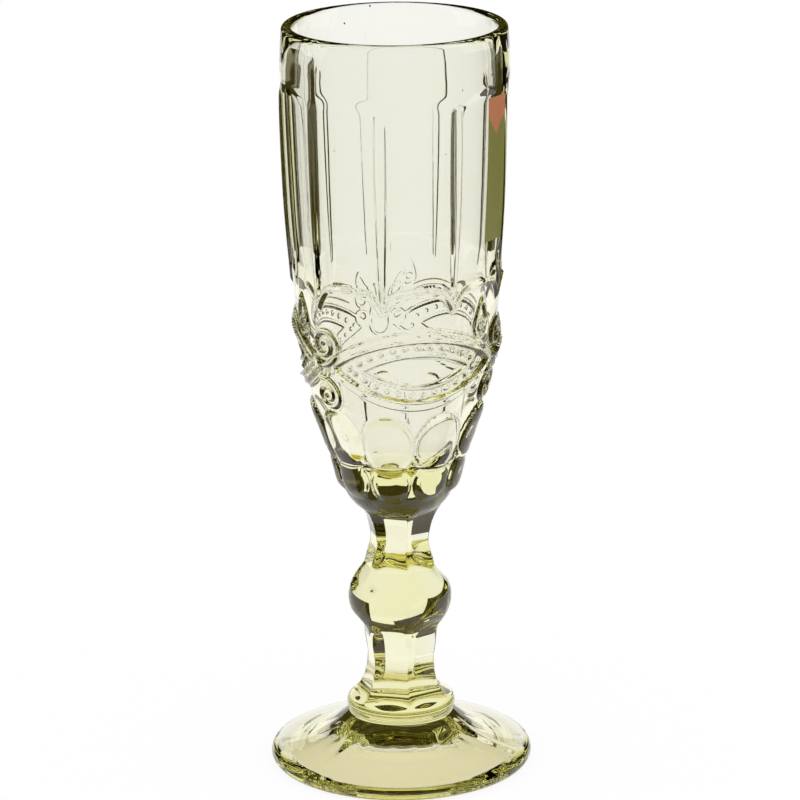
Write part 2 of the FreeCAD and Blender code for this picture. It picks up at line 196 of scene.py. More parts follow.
@dataclass(frozen=True)
class Foot:
    """The round foot: a hollow under it, a rounded edge, and a petalled dome with a collar."""

    height: float
    radius: float
    edge: float = 2.2
    recess_radius: float = 29.0
    recess_depth: float = 8.0
    recess_power: float = 2.0
    collar_radius: float = 13.4
    collar_height: float = 4.0
    collar_bulge: float = 1.0
    dome_sweep: float = 34.0
    petals: int = 18
    petal_depth: float = 0.07
    petal_power: float = 0.7
    fade_start: float = 0.6
    fade_length: float = 2.5
    seam_rise: float = 0.35
    seam_half_width: float = 2.2
    hollow_rings: int = 15
    rest_rings: int = 5
    edge_rings: int = 10
    dome_rings: int = 20
    collar_rings: int = 9

    def outline(self) -> list[Point]:
        """The turned outline of the foot.

        Returns:
            Radius and height, from beside the axis underneath to the top of the collar.
        """
        flat = self.radius - self.edge
        spread = np.linspace(0, self.recess_radius, self.hollow_rings)[1:]
        hollow = [(r, self.recess_depth * (1 - (r / self.recess_radius) ** self.recess_power))
                  for r in spread]
        rest = [(r, 0.0) for r in np.linspace(self.recess_radius, flat, self.rest_rings)[1:-1]]
        edge = arc((flat, self.edge), self.edge, -90, 90, self.edge_rings)
        start, end = (flat, 2 * self.edge), (self.collar_radius, self.height - self.collar_height)
        return hollow + rest + edge + self.dome(start, end) + self.collar()

    def dome(self, start: Point, end: Point) -> list[Point]:
        """The inward-curved sweep from the edge up to the collar.

        Args:
            start: Where it leaves the edge.
            end: Where it meets the collar.

        Returns:
            The points between those two.
        """
        chord = Vector((end[0] - start[0], end[1] - start[1]))
        middle = Vector(start) + chord / 2
        out = Vector((chord.y, -chord.x)).normalized()
        reach = math.sqrt(self.dome_sweep ** 2 - (chord.length / 2) ** 2)
        centre = middle + out * reach
        first = math.degrees(math.atan2(start[1] - centre.y, start[0] - centre.x)) % 360
        last = math.degrees(math.atan2(end[1] - centre.y, end[0] - centre.x)) % 360
        return arc(tuple(centre), self.dome_sweep, first, last, self.dome_rings)[1:-1]

    def collar(self) -> list[Point]:
        """The ring at the root of the stem.

        Returns:
            Its outline, without the last point, where the stem begins.
        """
        half = self.collar_height / 2
        rise = np.linspace(-1, 1, self.collar_rings)[:-1]
        middle = self.height - half
        return [(self.collar_radius + self.collar_bulge * (1 - t * t), middle + half * t) for t in rise]

    def rings(self) -> list[Numbers]:
        """The foot's rings, with its petals and its three mould seams.

        Returns:
            Rings of points, from beside the axis underneath to just under the stem.
        """
        angle = columns_at(COARSE_COLUMNS)
        swell = np.abs(np.sin(np.radians(from_nearest(angle, SEAM, self.petals)) * self.petals / 2))
        made = []
        for radius, height in self.outline():
            on_dome = height > 2 * self.edge
            inner = smoothstep(np.array((radius - self.collar_radius - self.fade_start) / self.fade_length))
            inside = self.radius - self.edge - radius
            outer = smoothstep(np.array((inside + self.fade_start) / self.fade_length))
            depth = self.petal_depth * inner * outer if on_dome else 0.0
            sunk = depth * (swell ** self.petal_power - 1)
            away = np.radians(np.abs(from_nearest(angle, SEAM, SEGMENTS))) * radius / self.seam_half_width
            seam = self.seam_rise * inner * outer * (1 - smoothstep(away)) if on_dome else 0.0
            made.append(around(radius + 0 * angle, angle, height + sunk + seam))
        return made


@dataclass(frozen=True)
class Stem:
    """The six-sided stem: waisted above and below a round knop, with flutes that run into it."""

    bottom: float
    knop_height: float = 45.6
    knop_radius: float = 13.7
    knop_curve: float = 9.0
    knop_blend: float = 0.25
    corner_round: float = 0.1
    flute_rise: float = 5.4
    flute_length: float = 11.7
    lower_flute_end: float = 31.3
    upper_flute_end: float = 59.8
    neck_flute_end: float = 70.0
    neck_sweep: float = 1.0
    root_height: float = 1.6
    corners: tuple[Point, ...] = ((18.0, 13.1), (20.0, 11.4), (22.4, 10.3), (25.0, 9.6), (28.5, 9.35),
                                  (34.0, 10.0), (46.0, 10.2), (56.0, 9.4), (61.5, 8.15), (66.0, 8.9),
                                  (70.0, 10.5), (72.0, 11.8), (74.0, 13.4), (77.0, 14.7))

    def round_form(self, height: Numbers) -> Numbers:
        """The radius of the stem's corners, which swell into the knop."""
        knop = self.knop_radius - (height - self.knop_height) ** 2 / (2 * self.knop_curve)
        return soft_max(smooth_line(self.corners, height), knop, self.knop_blend)

    def flutes(self, angle: Numbers, height: Numbers) -> Numbers:
        """The radius of the six flat flutes, which sweep outwards at their ends.

        Args:
            angle: Degrees about the axis.
            height: Millimetres above the table.

        Returns:
            The radius at each place.
        """
        flat = smooth_line(self.corners, height) * math.cos(math.pi / STEM_SIDES)
        below, above = height - self.lower_flute_end, self.upper_flute_end - height
        into_knop = np.clip(np.where(height < self.knop_height, below, above) / self.flute_length, 0, None)
        knop = self.flute_rise * into_knop ** 3
        neck = np.clip(height - self.neck_flute_end, 0, None) ** 2 / (2 * self.neck_sweep)
        root = np.clip(self.bottom + self.root_height - height, 0, None) ** 2 / (2 * self.neck_sweep)
        lean = from_nearest(angle, SEAM + 180 / STEM_SIDES, STEM_SIDES)
        return (flat + knop + neck + root) / np.cos(np.radians(lean))

    def outside(self, angle: Numbers, height: Numbers) -> Numbers:
        """The stem's radius at any angle and height."""
        return soft_min(self.round_form(height), self.flutes(angle, height), self.corner_round)


@dataclass(frozen=True)
class Bowl:
    """The bowl: nine sunk panels over a relief band, over two rows of bosses, and its cavity."""

    top: float
    lip: float = 1.5
    wall_line: tuple[Point, ...] = ((70.0, 10.5), (72.0, 11.8), (74.0, 13.4), (77.0, 14.9), (82.0, 16.1),
                                    (88.0, 17.7), (94.0, 19.7), (99.0, 21.6), (104.0, 23.1), (110.0, 24.5),
                                    (118.0, 25.7), (124.0, 26.2), (129.0, 26.7), (144.0, 28.1),
                                    (157.0, 28.9), (176.0, 29.45), (190.0, 29.6), (198.5, 29.2))
    cavity_line: tuple[Point, ...] = ((80.5, 0.0), (81.0, 4.6), (83.0, 9.0), (87.0, 12.9), (92.0, 15.4),
                                      (97.0, 17.0), (108.0, 19.8), (124.0, 22.2), (145.0, 24.0),
                                      (170.0, 25.3), (185.0, 25.9), (198.5, 26.2))
    panel_flatness: float = 0.36
    panel_depth: float = 0.12
    ridge_half_width: float = 1.65
    ridge_rise: float = 0.6
    ridge_top: float = 183.6
    ridge_top_round: float = 3.0
    ridge_foot: float = 131.5
    ridge_foot_length: float = 2.0
    ridge_taper: float = 34.0
    ridge_taper_power: float = 0.6
    ridge_tip_share: float = 0.25
    seam_half_width: float = 2.3
    seam_rise: float = 0.5
    seam_top: float = 195.0
    panel_shoulder: float = 184.5
    panel_arch: float = 3.2
    shoulder_length: float = 4.4
    panel_foot: float = 132.5
    panel_foot_arch: float = 3.0
    panel_foot_length: float = 6.0
    oval_height: float = 92.8
    oval_half: Point = (7.4, 8.6)
    oval_rise: float = 1.7
    petal_height: float = 81.6
    petal_half: Point = (5.7, 5.6)
    petal_rise: float = 1.3
    boss_flatness: int = 4
    boss_shoulder: float = 0.6
    medallion_height: float = 114.3
    medallion_half: Point = (60.0, 11.0)
    ribbon_inner: Point = (51.0, 7.9)
    ribbon_rise: float = 0.9
    ribbon_edge: float = 0.8
    ribbon_gap: float = 18.0
    ribbon_fade: float = 6.0
    opening_half: Point = (33.0, 4.4)
    opening_depth: float = 0.3
    opening_edge: float = 0.5
    cavity_bend: float = 100.0
    cavity_turn: float = 84.0
    cavity_round: float = 2.2
    floor_shares: tuple[float, ...] = (0.85, 0.7, 0.55, 0.4, 0.25, 0.12)
    wall_rings: int = 22
    turn_rings: int = 10
    lip_rings: int = 11

    def panels(self, angle: Numbers, height: Numbers, wall: Numbers) -> Numbers:
        """How far the nine panels are sunk below the round wall.

        Args:
            angle: Degrees about the axis.
            height: Millimetres above the table.
            wall: The round wall's radius there.

        Returns:
            The depth at each place, which is nothing above and below the panels.
        """
        lean = np.abs(from_nearest(angle, SEAM + 180 / PANELS, PANELS))
        share = lean / (180 / PANELS)
        flat = wall * (1 - math.cos(math.pi / PANELS) / np.cos(np.radians(lean)))
        roof = self.panel_shoulder + self.panel_arch * (1 - share ** 2)
        floor = self.panel_foot + self.panel_foot_arch * (1 - share ** 4)
        top = smoothstep((roof - height) / self.shoulder_length)
        foot = smoothstep((height - floor) / self.panel_foot_length)
        return (self.panel_flatness * flat + self.panel_depth) * top * foot

    def ridge(self, angle: Numbers, height: Numbers, wall: Numbers, first: float, count: int,
              half_width: float, rise: float, top: float) -> Numbers:
        """How far a ring of slender rounded ridges stands out between the panels.

        Args:
            angle: Degrees about the axis.
            height: Millimetres above the table.
            wall: The round wall's radius there.
            first: Angle of one of the ridges.
            count: How many there are.
            half_width: Half of a ridge's width where it is widest.
            rise: How far its crown stands out.
            top: Height of its rounded top.

        Returns:
            The rise at each place, which tapers towards the relief.
        """
        across = np.radians(np.abs(from_nearest(angle, first, count))) * wall
        above = np.clip((top - height) / self.ridge_top_round, 0, 1)
        below = np.clip((height - self.ridge_foot) / self.ridge_taper, 0, 1)
        taper = self.ridge_tip_share + (1 - self.ridge_tip_share) * below ** self.ridge_taper_power
        width = half_width * np.sqrt(above * (2 - above)) * taper
        reach = across / np.maximum(width, 1e-3)
        swell = smoothstep((height - self.ridge_foot) / self.ridge_foot_length)
        return rise * np.sqrt(np.clip(1 - reach ** 2, 0, 1)) * np.sqrt(above) * swell

    def boss(self, angle: Numbers, height: Numbers, first: float, centre: float, half: Point,
             rise: float, wall: Numbers) -> Numbers:
        """How far one row of rounded bosses stands out.

        Args:
            angle: Degrees about the axis.
            height: Millimetres above the table.
            first: Angle of one of the bosses.
            centre: Height of their centres.
            half: Half of a boss's width and of its height.
            rise: How far its crown stands out.
            wall: The round wall's radius there.

        Returns:
            The rise at each place.
        """
        across = np.radians(from_nearest(angle, first, PANELS)) * (wall + rise) / half[0]
        reach = np.sqrt(across ** 2 + ((height - centre) / half[1]) ** 2)
        return rise * np.clip(1 - reach ** self.boss_flatness, 0, 1) ** self.boss_shoulder

    def lens(self, angle: Numbers, height: Numbers, half: Point) -> Numbers:
        """How far inside an eye-shaped outline a place is, upwards or downwards.

        Args:
            angle: Degrees about the axis.
            height: Millimetres above the table.
            half: Half of the outline's width in degrees, and of its height.

        Returns:
            Millimetres, which are negative outside it.
        """
        share = np.abs(from_nearest(angle, SEAM + 180 / SEGMENTS, SEGMENTS)) / half[0]
        edge = half[1] * (1 - np.clip(share, 0, LENS_END) ** 2.0)
        return edge - np.abs(height - self.medallion_height)

    def ribbons(self, angle: Numbers, height: Numbers) -> Numbers:
        """How far the medallions' ribbons stand out, less the sunk openings inside them.

        Args:
            angle: Degrees about the axis.
            height: Millimetres above the table.

        Returns:
            The rise at each place. At one seam the ribbons stop short of the drop there.
        """
        outer = smoothstep(self.lens(angle, height, self.medallion_half) / self.ribbon_edge + 0.5)
        inner = smoothstep(self.lens(angle, height, self.ribbon_inner) / self.ribbon_edge + 0.5)
        opening = smoothstep(self.lens(angle, height, self.opening_half) / self.opening_edge + 0.5)
        from_drop = np.abs(from_nearest(angle, SEAM - 360 / SEGMENTS, 1))
        clear = smoothstep((from_drop - self.ribbon_gap) / self.ribbon_fade)
        return self.ribbon_rise * outer * (1 - inner) * clear - self.opening_depth * opening

    def outside(self, angle: Numbers, height: Numbers) -> Numbers:
        """The bowl's outer radius.

        Args:
            angle: Degrees about the axis.
            height: Millimetres above the table.

        Returns:
            The radius at each place, before the fine ornament is pressed.
        """
        wall = smooth_line(self.wall_line, height) + 0 * angle
        ovals = self.boss(angle, height, SEAM, self.oval_height, self.oval_half, self.oval_rise, wall)
        petals = self.boss(angle, height, SEAM, self.petal_height, self.petal_half, self.petal_rise, wall)
        raised = np.maximum(ovals, petals) + self.ribbons(angle, height)
        ridges = np.maximum(self.ridge(angle, height, wall, SEAM, PANELS, self.ridge_half_width,
                                       self.ridge_rise, self.ridge_top),
                            self.ridge(angle, height, wall, SEAM, SEGMENTS, self.seam_half_width,
                                       self.seam_rise, self.seam_top))
        return wall + raised + ridges - self.panels(angle, height, wall)

    def lip_outline(self) -> list[Point]:
        """The fire-polished lip.

        Returns:
            Radius and height, from the outer wall over to the cavity.
        """
        outer = self.wall_line[-1][1]
        half = (outer - self.cavity_line[-1][1]) / 2
        turns = np.radians(np.linspace(0, 180, self.lip_rings))
        return [(outer - half + half * math.cos(t), self.top - self.lip + self.lip * math.sin(t))
                for t in turns]

    def cavity_outline(self) -> list[Point]:
        """The inside of the bowl.

        Returns:
            Radius and height, from under the lip down to beside the axis.
        """
        upper = np.linspace(self.cavity_line[-1][0], self.cavity_bend, self.wall_rings)[1:]
        lower = np.linspace(self.cavity_bend, self.cavity_turn, self.turn_rings)[1:]
        heights = np.concatenate([upper, lower])
        wall = [(float(smooth_line(self.cavity_line, np.array([z]))[0]), float(z)) for z in heights]
        floor = self.cavity_line[0][1] + self.cavity_line[0][0]
        low_radius, low_height = wall[-1]
        rise = low_height - floor
        tip = [(low_radius * share, floor + rise * share ** self.cavity_round) for share in self.floor_shares]
        return wall + tip


def columns_at(count: int) -> Numbers:
    """The angles of evenly spaced columns, the first one on a mould seam."""
    return SEAM + 360 * np.arange(count) / count


def crowd(angle: Numbers, amount: float) -> Numbers:
    """Draws columns closer together at the ridges between panels, by an amount from 0 to 1."""
    pitch = 360 / PANELS
    return angle - amount * pitch / (2 * math.pi) * np.sin((angle - SEAM) * 2 * math.pi / pitch)


class Outline(Enum):
    """The kinds of raised line pressed into the relief band, with their width and height in mm."""

    ROLL = (2.4, 1.0)
    CORD = (1.6, 0.75)
    LINE = (0.95, 0.4)
    BEAD = (2.1, 0.85)

    @property
    def width(self) -> float:
        """Width across the foot of the line."""
        return self.value[0]

    @property
    def rise(self) -> float:
        """How far its crown stands out."""
        return self.value[1]


@dataclass
class Relief:
    """The pressed ornament over the bowl's wall: scrolls, beads, leaves and a scalloped border.

    Angles are degrees. Levels are millimetres above the table, and other sizes millimetres.
    """

    bowl: Bowl
    bead_pitch: float = 3.2
    bead_half: Point = (41.0, 6.7)
    ribbon_line_rise: float = 0.5
    scroll_reach: float = 5.3
    scroll_eye: float = 1.1
    scroll_turns: float = 1.7
    scroll_start: float = 110.0
    scroll_shift: Point = (2.0, -1.0)
    scroll_closing: float = 0.85
    scroll_points: int = 60
    upper_scroll: float = 119.8
    lower_scroll: float = 106.0
    lower_scroll_less: float = 0.6
    crescent_ends: Point = (14.0, 13.0)
    crescent_fall: tuple[float, float, float] = (-0.6, 5.4, 1.6)
    drop_point: float = 1.2
    drop_points: int = 40
    tear_foot: float = 110.8
    tear_half_width: float = 4.0
    tear_length: float = 12.5
    eye_level: float = 116.3
    eye_apart: float = 12.3
    eye_reach: float = 2.6
    eye_turns: float = 1.4
    leaf_foot: float = 119.2
    leaf_half_width: float = 2.2
    leaf_length: float = 7.0
    leaf_apart: float = 5.4
    tie_level: float = 112.6
    tie_pitch: float = 1.5
    tie_half: Point = (1.1, 2.2)
    pear_angle: float = 102.0
    pear_foot: float = 121.0
    pear_half_width: float = 3.2
    pear_length: float = 10.5
    pear_eye_level: float = 124.2
    pear_eye_reach: float = 1.3
    pear_eye_turns: float = 0.9
    border_half_angle: float = 70.0
    border_level: float = 134.6
    border_dip: float = 4.6
    border_dip_start: float = 0.55
    border_swell: float = 1.2
    border_points: int = 170
    strokes: dict[Outline, list[Numbers]] = field(default_factory=lambda: {kind: [] for kind in Outline})

    def place(self, centre: float, level: float, across: Numbers, up: Numbers) -> Numbers:
        """Lays a flat drawing on the bowl's wall.

        Args:
            centre: Angle of the drawing's centre.
            level: Height of its centre.
            across: How far each point is to the right of the centre.
            up: How far each point is above it.

        Returns:
            The points on the wall.
        """
        height = level + np.asarray(up, float)
        wall = smooth_line(self.bowl.wall_line, height)
        angle = centre + np.degrees(np.asarray(across, float) / wall)
        return around(self.bowl.outside(angle, height), angle, height)

    def arch(self, centre: float, half: Point, lower: bool, steps: int = 48) -> Numbers:
        """One edge of an eye-shaped outline, laid on the wall.

        Args:
            centre: Angle of the outline's centre.
            half: Half of its width in degrees, and of its height.
            lower: Whether it is the lower edge.
            steps: How many points it has.

        Returns:
            The points on the wall.
        """
        angle = centre + np.linspace(-1, 1, steps) * half[0]
        sag = half[1] * (1 - np.linspace(-1, 1, steps) ** 2)
        height = self.bowl.medallion_height + (-sag if lower else sag)
        return around(self.bowl.outside(angle, height), angle, height)

    def spiral(self, centre: float, level: float, reach: float, turns: float, start: float,
               handed: int = 1) -> Numbers:
        """A scroll that winds inwards to its eye.

        Args:
            centre: Angle of its eye about the axis.
            level: Height of its eye.
            reach: Radius of its outer end.
            turns: How many turns it makes.
            start: Degrees about the eye at which the outer end lies.
            handed: 1 or -1, the way it winds.

        Returns:
            The points on the wall.
        """
        share = np.linspace(0, 1, self.scroll_points)
        radius = reach + (self.scroll_eye - reach) * share ** self.scroll_closing
        turn = np.radians(start) + handed * share * turns * 2 * math.pi
        return self.place(centre, level, radius * np.cos(turn), radius * np.sin(turn))

    def drop(self, centre: float, level: float, half_width: float, length: float,
             shift: float = 0.0) -> Numbers:
        """A closed teardrop.

        Args:
            centre: Angle from which it is drawn.
            level: Height of its round end.
            half_width: Half of its width.
            length: Its length.
            shift: How far it stands to the right of that angle.

        Returns:
            The points on the wall.
        """
        turn = np.linspace(0, 2 * math.pi, self.drop_points)
        across = half_width * np.sin(turn) * np.sin(turn / 2) ** self.drop_point
        up = length * (0.5 + 0.5 * np.cos(turn))
        return self.place(centre, level, shift + across, up)

    def draw(self) -> None:
        """Draws every stroke of the ornament."""
        cords = self.strokes[Outline.CORD]
        ribbon_line = (self.bowl.ribbon_inner[0], self.bowl.ribbon_inner[1] + self.ribbon_line_rise)
        for segment in range(SEGMENTS):
            seam = SEAM + segment * 360 / SEGMENTS
            middle = seam + 180 / SEGMENTS
            for lower in (False, True):
                cords.append(self.arch(middle, self.bowl.opening_half, lower))
                cords.append(self.arch(middle, ribbon_line, lower))
                self.beads(middle, lower)
            self.crescent(middle)
            self.crossing(seam, bellied=segment == SEGMENTS - 1)
            self.pear(seam + self.pear_angle)
        self.border()

    def beads(self, middle: float, lower: bool) -> None:
        """A row of beads along one edge of a medallion's opening.

        Args:
            middle: Angle of the medallion's centre.
            lower: Whether it is the lower edge.
        """
        line = self.arch(middle, self.bead_half, lower, steps=200)
        run = np.concatenate([[0], np.cumsum(np.linalg.norm(np.diff(line, axis=0), axis=1))])
        count = round(run[-1] / self.bead_pitch)
        at = (np.arange(count) + (0.5 if lower else 0.0)) * run[-1] / count
        row = np.stack([np.interp(at, run, line[:, axis]) for axis in range(3)], axis=1)
        self.strokes[Outline.BEAD].append(row)

    def crescent(self, middle: float) -> None:
        """The inner leaf line at the right of an opening.

        Args:
            middle: Angle of the medallion's centre.
        """
        share = np.linspace(0, 1, 24)
        start, sink, lift = self.crescent_fall
        across = self.crescent_ends[0] - self.crescent_ends[1] * share
        up = start - sink * np.sin(share * math.pi / 2) + lift * share
        self.strokes[Outline.CORD].append(self.place(middle, self.bowl.medallion_height, across, up))

    def crossing(self, seam: float, bellied: bool) -> None:
        """The scrolls where two ribbons cross, or at one seam a drop between two eyes.

        Args:
            seam: Angle of the mould seam.
            bellied: Whether it is the seam with the drop.
        """
        cords, rolls = self.strokes[Outline.CORD], self.strokes[Outline.ROLL]
        if bellied:
            cords.append(self.drop(seam, self.tear_foot, self.tear_half_width, self.tear_length))
            for side in (-1, 1):
                cords.append(self.spiral(seam + side * self.eye_apart, self.eye_level, self.eye_reach,
                                         self.eye_turns, 90 + side * 90, side))
                cords.append(self.drop(seam, self.leaf_foot, self.leaf_half_width, self.leaf_length,
                                       shift=side * self.leaf_apart))
            return
        rolls.append(self.spiral(seam + self.scroll_shift[0], self.upper_scroll, self.scroll_reach,
                                 self.scroll_turns, -self.scroll_start))
        rolls.append(self.spiral(seam + self.scroll_shift[1], self.lower_scroll,
                                 self.scroll_reach - self.lower_scroll_less, self.scroll_turns,
                                 self.scroll_start, -1))
        for step in (-self.tie_pitch, 0.0, self.tie_pitch):
            tie = np.linspace(-1, 1, 9)
            line = self.place(seam, self.tie_level, step + self.tie_half[0] * tie, self.tie_half[1] * tie)
            self.strokes[Outline.LINE].append(line)

    def pear(self, angle: float) -> None:
        """A pear-shaped scroll with an eye, above the right of each medallion.

        Args:
            angle: Where it stands about the axis.
        """
        cords = self.strokes[Outline.CORD]
        cords.append(self.drop(angle, self.pear_foot, self.pear_half_width, self.pear_length))
        cords.append(self.spiral(angle, self.pear_eye_level, self.pear_eye_reach, self.pear_eye_turns, 90))

    def border(self) -> None:
        """The scalloped line under the panels, which dips under each ridge."""
        spread = np.linspace(-self.border_half_angle, self.border_half_angle, self.border_points)
        angle = SEAM + 180 / SEGMENTS + spread
        share = np.abs(from_nearest(angle, SEAM + 180 / PANELS, PANELS)) / (180 / PANELS)
        past = np.clip(share - self.border_dip_start, 0, 1) / (1 - self.border_dip_start)
        height = self.border_level - self.border_dip * past ** 2 + self.border_swell * (1 - share)
        self.strokes[Outline.CORD].append(around(self.bowl.outside(angle, height), angle, height))

    def stencil(self, kind: Outline) -> bpy.types.Object:
        """The strokes of one kind as a mesh.

        Args:
            kind: The kind of line.

        Returns:
            An object of edges, or of loose points for the beads.
        """
        points, edges = [], []
        for stroke in self.strokes[kind]:
            first = len(points)
            points.extend((stroke * MM).tolist())
            if kind is not Outline.BEAD:
                edges.extend((first + i, first + i + 1) for i in range(len(stroke) - 1))
        mesh = bpy.data.meshes.new(f"stencil_{kind.name.lower()}")
        mesh.from_pydata(points, edges, [])
        made = bpy.data.objects.new(mesh.name, mesh)
        bpy.context.scene.collection.objects.link(made)
        return made


@dataclass
class PressTree:
    """The Geometry Nodes tree that presses the strokes into the wall and adds a few gas seeds."""

    seed_radius: float = 0.22
    seed_depth: float = 1.5
    seeds_per_m2: float = 500.0
    seed_floor: float = 130.0
    seed_facing: float = 0.5
    seed_scale: Point = (0.5, 1.2)
    seed: int = 7

    def build(self) -> bpy.types.NodeTree:
        """Builds the tree with its named inputs.

        Returns:
            A tree that ends in Realize Instances and Set Material.
        """
        tree = bpy.data.node_groups.new("press_relief", "GeometryNodeTree")
        face = tree.interface
        face.new_socket("Glass", in_out="INPUT", socket_type="NodeSocketGeometry")
        for kind in Outline:
            label = kind.name.title()
            face.new_socket(f"{label} Stencil", in_out="INPUT", socket_type="NodeSocketObject")
            face.new_socket(f"{label} Width", in_out="INPUT", socket_type="NodeSocketFloat")
            face.new_socket(f"{label} Height", in_out="INPUT", socket_type="NodeSocketFloat")
        for name in ("Seed Radius", "Seed Depth", "Seed Density", "Seed Floor"):
            face.new_socket(name, in_out="INPUT", socket_type="NodeSocketFloat")
        face.new_socket("Random Seed", in_out="INPUT", socket_type="NodeSocketInt")
        face.new_socket("Material", in_out="INPUT", socket_type="NodeSocketMaterial")
        face.new_socket("Glass", in_out="OUTPUT", socket_type="NodeSocketGeometry")
        source = add_node(tree, "NodeGroupInput").outputs
        pressed, outward = self.press(tree, source)
        seeds = self.bubbles(tree, source, outward)
        joined = add_node(tree, "GeometryNodeJoinGeometry")
        tree.links.new(seeds, joined.inputs[0])
        tree.links.new(pressed, joined.inputs[0])
        real = add_node(tree, "GeometryNodeRealizeInstances", inputs={0: joined.outputs[0]})
        dressed = add_node(tree, "GeometryNodeSetMaterial",
                           inputs={"Geometry": real.outputs[0], "Material": source["Material"]})
        add_node(tree, "NodeGroupOutput", inputs={0: dressed.outputs[0]})
        return tree

    def press(self, tree: bpy.types.NodeTree, source: Any) -> tuple[Any, Any]:
        """Moves the wall outwards along the strokes.

        Args:
            tree: The tree being built.
            source: The outputs of its group input.

        Returns:
            The pressed glass, and the level direction away from the axis.
        """
        place = add_node(tree, "GeometryNodeInputPosition").outputs[0]
        level = add_node(tree, "ShaderNodeVectorMath", {"operation": "MULTIPLY"},
                         {0: place, 1: (1.0, 1.0, 0.0)}).outputs[0]
        outward = add_node(tree, "ShaderNodeVectorMath", {"operation": "NORMALIZE"}, {0: level}).outputs[0]
        tallest = None
        for kind in Outline:
            label = kind.name.title()
            shape = add_node(tree, "GeometryNodeObjectInfo", {"transform_space": "ORIGINAL"},
                             {"Object": source[f"{label} Stencil"]}).outputs["Geometry"]
            element = "POINTS" if kind is Outline.BEAD else "EDGES"
            near = add_node(tree, "GeometryNodeProximity", {"target_element": element},
                            {0: shape}).outputs["Distance"]
            half = add_node(tree, "ShaderNodeMath", {"operation": "MULTIPLY"},
                            {0: source[f"{label} Width"], 1: 0.5}).outputs[0]
            swell = add_node(tree, "ShaderNodeMapRange", {"interpolation_type": "SMOOTHSTEP"},
                             {"Value": near, "From Min": 0.0, "From Max": half,
                              "To Min": source[f"{label} Height"], "To Max": 0.0}).outputs[0]
            tallest = swell if tallest is None else add_node(
                tree, "ShaderNodeMath", {"operation": "MAXIMUM"}, {0: tallest, 1: swell}).outputs[0]
        normal = add_node(tree, "GeometryNodeInputNormal").outputs[0]
        facing = add_node(tree, "ShaderNodeVectorMath", {"operation": "DOT_PRODUCT"},
                          {0: normal, 1: outward}).outputs["Value"]
        outside = add_node(tree, "FunctionNodeCompare", {"data_type": "FLOAT", "operation": "GREATER_THAN"},
                           {0: facing, 1: 0.0}).outputs[0]
        offset = add_node(tree, "ShaderNodeVectorMath", {"operation": "SCALE"},
                          {0: outward, "Scale": tallest}).outputs[0]
        moved = add_node(tree, "GeometryNodeSetPosition", None,
                         {"Geometry": source["Glass"], "Selection": outside, "Offset": offset})
        return moved.outputs[0], outward

    def bubbles(self, tree: bpy.types.NodeTree, source: Any, outward: Any) -> Any:
        """Scatters a few round seeds inside the wall of the panels.

        Args:
            tree: The tree being built.
            source: The outputs of its group input.
            outward: The level direction away from the axis.

        Returns:
            The seeds as instances, each with its faces turned to its own inside.
        """
        place = add_node(tree, "GeometryNodeInputPosition").outputs[0]
        height = add_node(tree, "ShaderNodeSeparateXYZ", None, {0: place}).outputs["Z"]
        normal = add_node(tree, "GeometryNodeInputNormal").outputs[0]
        facing = add_node(tree, "ShaderNodeVectorMath", {"operation": "DOT_PRODUCT"},
                          {0: normal, 1: outward}).outputs["Value"]
        high = add_node(tree, "FunctionNodeCompare", {"data_type": "FLOAT", "operation": "GREATER_THAN"},
                        {0: height, 1: source["Seed Floor"]}).outputs[0]
        out = add_node(tree, "FunctionNodeCompare", {"data_type": "FLOAT", "operation": "GREATER_THAN"},
                       {0: facing, 1: self.seed_facing}).outputs[0]
        chosen = add_node(tree, "FunctionNodeBooleanMath", {"operation": "AND"}, {0: high, 1: out}).outputs[0]
        points = add_node(tree, "GeometryNodeDistributePointsOnFaces", None,
                          {"Mesh": source["Glass"], "Selection": chosen,
                           "Density": source["Seed Density"], "Seed": source["Random Seed"]}).outputs[0]
        depth = add_node(tree, "ShaderNodeMath", {"operation": "MULTIPLY"},
                         {0: source["Seed Depth"], 1: -1.0}).outputs[0]
        inward = add_node(tree, "ShaderNodeVectorMath", {"operation": "SCALE"},
                          {0: outward, "Scale": depth}).outputs[0]
        sunk = add_node(tree, "GeometryNodeSetPosition", None,
                        {"Geometry": points, "Offset": inward}).outputs[0]
        ball = add_node(tree, "GeometryNodeMeshIcoSphere", None,
                        {"Radius": source["Seed Radius"], "Subdivisions": 3}).outputs[0]
        inside_out = add_node(tree, "GeometryNodeFlipFaces", None, {0: ball}).outputs[0]
        size = add_node(tree, "FunctionNodeRandomValue", {"data_type": "FLOAT"},
                        {"Min": self.seed_scale[0], "Max": self.seed_scale[1],
                         "Seed": source["Random Seed"]}).outputs["Value"]
        return add_node(tree, "GeometryNodeInstanceOnPoints", None,
                        {"Points": sunk, "Instance": inside_out, "Scale": size}).outputs[0]

    def values(self, relief: Relief, material: bpy.types.Material) -> dict[str, Any]:
        """The value of each named input, with lengths turned to metres.

        Args:
            relief: The ornament, already drawn.
            material: The glass.

        Returns:
            Values by the inputs' names.
        """
        chosen: dict[str, Any] = {
            "Seed Radius": self.seed_radius * MM, "Seed Depth": self.seed_depth * MM,
            "Seed Density": self.seeds_per_m2, "Seed Floor": self.seed_floor * MM,
            "Random Seed": self.seed, "Material": material,
        }
        for kind in Outline:
            label = kind.name.title()
            chosen[f"{label} Stencil"] = relief.stencil(kind)
            chosen[f"{label} Width"] = kind.width * MM
            chosen[f"{label} Height"] = kind.rise * MM
        return chosen


